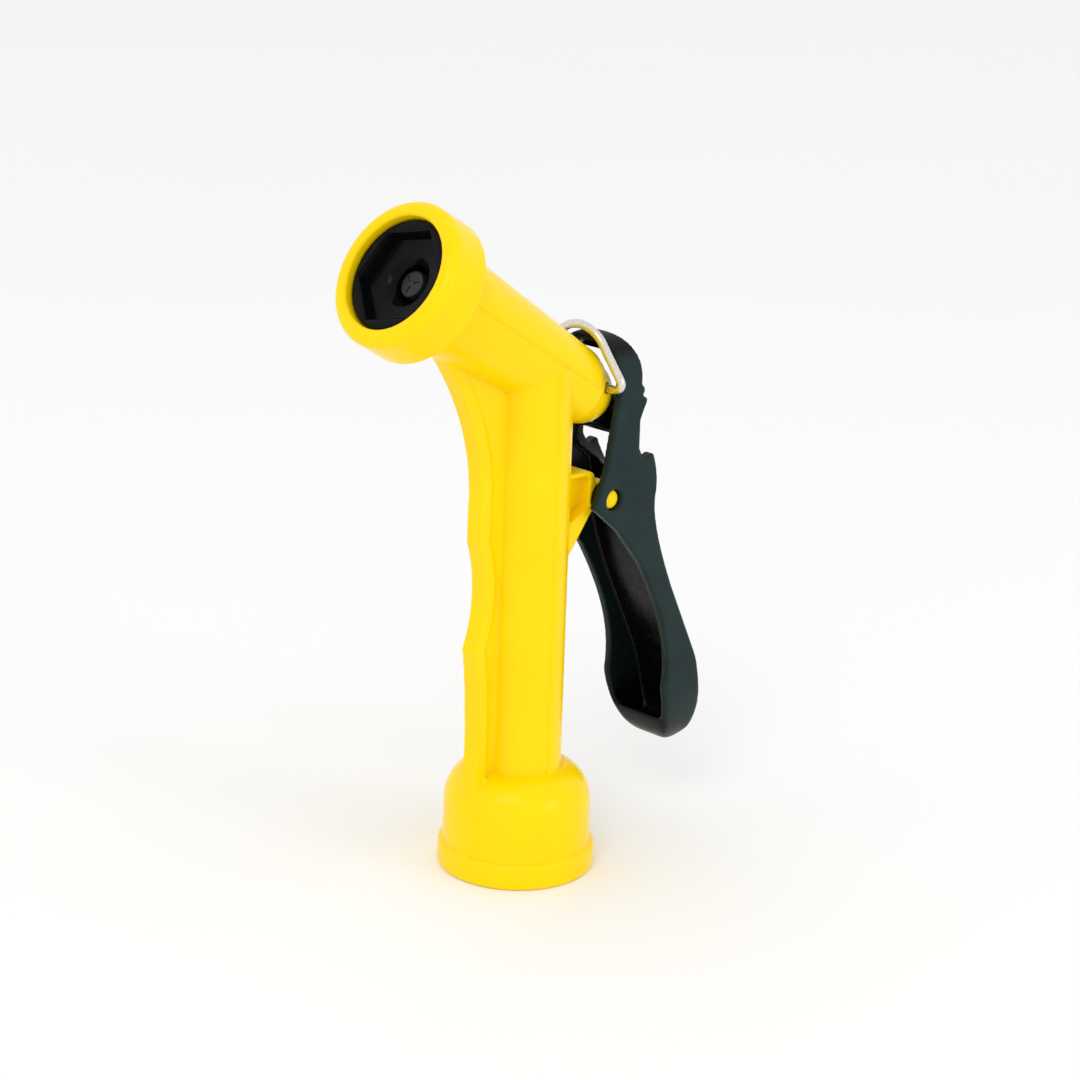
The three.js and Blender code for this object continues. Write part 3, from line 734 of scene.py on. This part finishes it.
def stem_seal_and_washers():
    seal = flat_ring("valve_seal", 2.5, 5.4, 27.3, 29.5)
    fitted(on_barrel(seal), "stem", "black_rubber", "poppet_seal")
    washer = flat_ring("front_spring_washer", 2.6, 5.2, 8.8, 9.6)
    fitted(on_barrel(washer), "stem", "brass", "spring_washer")
    gland = flat_ring("packing_washer", 2.6, 5.8, -9.7, -8.9)
    fitted(on_barrel(gland), "body", "brass", "gland_washer")


# ---- lever ------------------------------------------------------------------------------------

half_width = lever_half_width
wall = 2
back_wall = 2.3
edge_round = 1.8
window_half_width = 7.6
boss_radius = 4
boss_inner = 6.3
slot_radius = 2.6
tail_starts, tail_blend = 40, 9    # heights where the tail's rounding begins, and fades in


def lever_back():
    """The rear of the side outline, from the hood down to the tail."""
    points = [(17.6, 119.5)]
    points += curve((17.6, 119.5), (17.8, 122.4), (20.4, 122.6), 5)
    points += curve((20.4, 122.6), (26, 121.6), (25.6, 111), 10)
    points += [(26.5, 110.2), (26.6, 109.4), (26, 108.4), (27.1, 107.8), (27.5, 106.8),
               (26.9, 105.8), (25.5, 102.8), (25.6, 96), (27.3, 93.3), (30.2, 94.4)]
    points += curve((30.2, 94.4), (32.6, 89), (31.5, 83.5), 8)
    points += curve((31.5, 83.5), (31, 77), (38.5, 60.8), 12)
    points.append((47.4, 43))
    points += curve((47.4, 43), (51.6, 33.9), (51.1, 21.9), 12)
    points += curve((51.1, 21.9), (45.8, 16.5), (41.5, 22.5), 10)
    return points


def lever_front():
    """The front rim, from the tail up to the hood."""
    points = curve((41.5, 22.5), (38.7, 26.9), (37.4, 35.6), 8)
    points += curve((37.4, 35.6), (41, 47), (27.4, 68.6), 14)
    points += [(20, 77.5), (11.9, 84.2)]
    points += curve((11.9, 84.2), (15.4, 91), (16, 95.4), 6)
    points.append((18.4, 108))
    return points + curve((18.4, 108), (19.4, 113), (17.6, 119.5), 6)[:-1]


def lever_scoop():
    """The channel's side outline, a back wall inside the back's."""
    t = back_wall
    points = [(0, 122.6 - t), (20.4, 122.6 - t)]
    points += curve((20.4, 122.6 - t), (26 - t, 120), (25.6 - t, 111), 8)
    points += [(25.5 - t, 103), (25.6 - t, 94), (30.6 - t, 90)]
    points += curve((30.6 - t, 90), (31.6 - t, 86), (31.3 - t, 83.5), 5)
    points += curve((31.3 - t, 83.5), (30.8 - t, 77), (38.2 - t, 60.8), 12)
    points.append((47.4 - t, 42))
    points += curve((47.4 - t, 42), (51.6 - t, 33.4), (51 - t, 25.2), 10)
    points += curve((51 - t, 25.2), (46, 20.8), (42.5, 25), 8)
    points += curve((42.5, 25), (39.6, 28), (34, 28), 6)
    return points + [(0, 28)]


def back_view(name, inset):
    """The lever's outline from behind, with its round hood and tail, an inset smaller."""
    head = arc((0, 112.4), (half_width - inset, half_width - inset), 0, 180, 24)
    tail = arc((0, 35), (half_width - inset, 17.3 - inset), 180, 360, 28)
    return plank(name, head + tail, -10, 80)


def round_back_edges(piece, width):
    """Rounds the long edges between the cheeks and the back."""
    back = {(round(x, 2), round(z, 2)) for x, z in lever_back()}
    edit(piece)
    bpy.ops.mesh.select_mode(type="EDGE")
    bpy.ops.mesh.select_all(action="DESELECT")
    done()
    for edge in piece.data.edges:
        ends = [piece.data.vertices[v].co / mm for v in edge.vertices]
        on_back = all((round(end.x, 2), round(end.z, 2)) in back for end in ends)
        edge.select = on_back and abs(ends[0].y - ends[1].y) < 0.01
    edit(piece)
    bpy.ops.mesh.bevel(offset=width * mm, segments=4, affect="EDGES", clamp_overlap=True)
    done()


def lever():
    shell = slab("lever_shell", lever_back() + lever_front(), -half_width, half_width)
    round_back_edges(shell, edge_round)
    inner = half_width - wall
    scoop = combined(slab("scoop", lever_scoop(), -inner, inner), [back_view("scoop_view", wall)],
                     "INTERSECT")
    across = window_half_width
    windows = [block("window", (20, -across, 108.6), (40, across, 117.4)),
               back_window(),
               on_barrel(block("gland_space", (-5.8, -across, -29), (5.8, across, 0)))]
    combined(shell, [scoop] + windows, "DIFFERENCE")
    bridge = on_barrel(block("bridge", (-5, -inner - 0.3, -31.3), (5, inner + 0.3, -29)))
    combined(shell, [bridge], "UNION")
    combined(shell, [back_view("outer_view", 0)], "INTERSECT")
    at = (pivot.x, pivot.z)
    bosses = [across_rod("boss", boss_radius, boss_inner, inner + 0.5, at),
              across_rod("boss", boss_radius, -inner - 0.5, -boss_inner, at)]
    combined(shell, bosses, "UNION")
    pin_hole = across_rod("pin_hole", pin_hole_radius, -far, far, at)
    combined(shell, [pin_hole, stem_slot()], "DIFFERENCE")
    shell = moulded(shell, 0.32)
    round_tail(shell)
    return fitted(shell, "lever", "lever_plastic", "lever")


def round_tail(shell):
    """Melts the edges of the tail into a round bulb."""
    tail = shell.vertex_groups.new(name="tail")
    for vertex in shell.data.vertices:
        share = min(1.0, max(0.0, (tail_starts - vertex.co.z / mm) / tail_blend))
        tail.add([vertex.index], share, "REPLACE")
    apply(shell, "SMOOTH", factor=0.5, iterations=80, vertex_group=tail.name)
    shell.vertex_groups.clear()
    only(shell)
    bpy.ops.object.shade_smooth()


def back_window():
    """The oval hole in the back wall, sloping down towards the back."""
    window = plank("back_window", arc((0, 0), (window_half_width, 6.8), 0, 352.5, 47), -2, 60)
    slope = Matrix.Rotation(math.radians(24), 4, "Y")
    return placed(window, Matrix.Translation(Vector((23.3, 0, 97.5)) * mm) @ slope)


def stem_slot():
    """The long hole in the bridge that the stem passes through."""
    radii = (slot_radius, slot_radius)
    outline = arc((1.3, 0), radii, -90, 90, 16) + arc((-0.4, 0), radii, 90, 270, 16)
    slot = drawn_line("slot", [(x, y, -40) for x, y in outline])
    bpy.ops.mesh.select_all(action="SELECT")
    bpy.ops.mesh.edge_face_add()
    bpy.ops.mesh.extrude_region_move(TRANSFORM_OT_translate={"value": (0, 0, 16 * mm)})
    return on_barrel(closed(slot))


def pivot_pin():
    end = (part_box("pivot_pin")[1] / mm).y
    pin = turned("lever_pin", [(0, -end), (1.2, -end), (1.9, -end + 0.15), (2.2, -end + 0.5),
                               (2.2, end - 0.5), (1.9, end - 0.15), (1.2, end), (0, end)], 64)
    placed(pin, Matrix.Translation(pivot * mm) @ Matrix.Rotation(math.pi / 2, 4, "X"))
    smooth(pin, 35)
    return fitted(pin, "body", "yellow_plastic", "pivot_pin")


# ---- wire clip --------------------------------------------------------------------------------

wire_radius = 1
clip_lean = math.radians(8.4)
clip_foot = 11.6               # half its width at the feet
clip_height = 13.7


def through(points, steps):
    """A smooth line through points."""
    ends = [2 * points[0] - points[1]] + points + [2 * points[-1] - points[-2]]
    line = []
    for number in range(1, len(ends) - 2):
        a, b, c, d = ends[number - 1:number + 3]
        for i in range(steps):
            t = i / steps
            line.append(0.5 * (2 * b + (c - a) * t + (2 * a - 5 * b + 4 * c - d) * t ** 2
                               + (3 * b - a - 3 * c + d) * t ** 3))
    return line + [points[-1]]


def wire_clip():
    foot = clip_foot
    half = [(4.6, 0), (foot - 3.6, 0), (foot - 1.6, 0.1), (foot - 0.4, 0.8), (foot, 2.2),
            (foot - 1.6, 4.9), (foot - 3.3, 7.6), (foot - 4.8, 10.1), (foot - 5.6, 11.2),
            (foot - 6.8, 12.2), (foot - 8.5, 13.1), (foot - 10.2, 13.55)]
    sides = [(-across, up) for across, up in half] + [(0, clip_height)]
    sides += [(across, up) for across, up in reversed(half)]
    points = [Vector((clip_pivot.x - up * math.sin(clip_lean), across,
                      clip_pivot.z + up * math.cos(clip_lean))) for across, up in sides]
    clip = drawn_line("clip_wire", through(points, 6))
    done()
    only(clip)
    bpy.ops.object.convert(target="CURVE")
    wire = bpy.context.object
    wire.data.bevel_depth = wire_radius * mm
    wire.data.bevel_resolution = 5
    wire.data.use_fill_caps = True
    bpy.ops.object.convert(target="MESH")
    clip = bpy.context.object
    edit(clip)
    bpy.ops.mesh.select_all(action="SELECT")
    bpy.ops.mesh.remove_doubles(threshold=joined * mm)
    closed(clip)
    smooth(clip, 50)
    return fitted(clip, "clip", "bright_steel", "wire_clip")


# ---- camera, floor and light ------------------------------------------------------------------

azimuth, elevation, roll = math.radians(-45.17), math.radians(17.34), math.radians(1.84)
looks_at = Vector((4.83, 0, 76.29))
camera_distance = 600
focal_length = 89.27           # on a sensor 36 mm wide
key_power, fill_power, sky_strength = 3, 2, 0.95


def camera():
    back = Vector((math.sin(azimuth) * math.cos(elevation),
                   -math.cos(azimuth) * math.cos(elevation), math.sin(elevation)))
    right = Vector((math.cos(azimuth), math.sin(azimuth), 0))
    up = back.cross(right)
    across = right * math.cos(roll) + up * math.sin(roll)
    upward = up * math.cos(roll) - right * math.sin(roll)
    turn = Matrix((across, upward, back)).transposed().to_4x4()
    bpy.ops.object.camera_add()
    view = bpy.context.object
    view.matrix_world = Matrix.Translation((looks_at + back * camera_distance) * mm) @ turn
    view.data.sensor_width = 36
    view.data.lens = focal_length
    view.data.clip_start = 0.05
    view.data.clip_end = 20
    bpy.context.scene.camera = view


def backdrop():
    """A pale flat floor, six metres wide."""
    bpy.ops.object.select_all(action="DESELECT")
    bpy.ops.mesh.primitive_plane_add(size=6)
    floor = bpy.context.object
    floor.name = "floor"
    finish = Finish("pale_floor")
    tone = finish.mixed(finish.noise(400, 2), (0.93, 0.93, 0.93, 1), (0.95, 0.95, 0.95, 1))
    finish.set(Base_Color=tone, Roughness=0.9)
    finish.paint(floor)


def lamp(name, position, target, size, power):
    """A round lamp that faces a target, placed in metres."""
    bpy.ops.object.light_add(type="AREA", location=position)
    light = bpy.context.object
    light.name = name
    light.rotation_euler = (Vector(position) - Vector(target)).to_track_quat("Z", "Y").to_euler()
    light.data.shape = "DISK"
    light.data.size = size
    light.data.energy = power


def studio():
    middle = (0, 0, 0.08)
    lamp("key_light", (-0.9, -0.5, 1.1), middle, 0.6, key_power)
    lamp("fill_light", (0.3, -1.3, 0.5), middle, 0.5, fill_power)
    world = bpy.data.worlds.new("studio")
    bpy.context.scene.world = world
    world.use_nodes = True
    sky = world.node_tree.nodes["Background"]
    sky.inputs["Color"].default_value = (1, 1, 1, 1)
    sky.inputs["Strength"].default_value = sky_strength


# ---- the whole nozzle ---------------------------------------------------------------------------

for make in (nozzle_body, rear_cap, spray_insert, stem_tip, valve_stem, gland_nut, adjusting_nut,
             hose_washer, stem_seal_and_washers, lever, pivot_pin, wire_clip):
    make()

slots = {row["node"]: row["material_slot"] for row in frame["record"]["subparts"]}
for cad_name, node in frame["nodes"].items():
    if not node.hide_render:       # the hidden seals and the spring keep their CAD shapes
        finishes[slots[cad_name]].paint(node)

bpy.context.scene.view_settings.view_transform = "Standard"
camera()
backdrop()
studio()
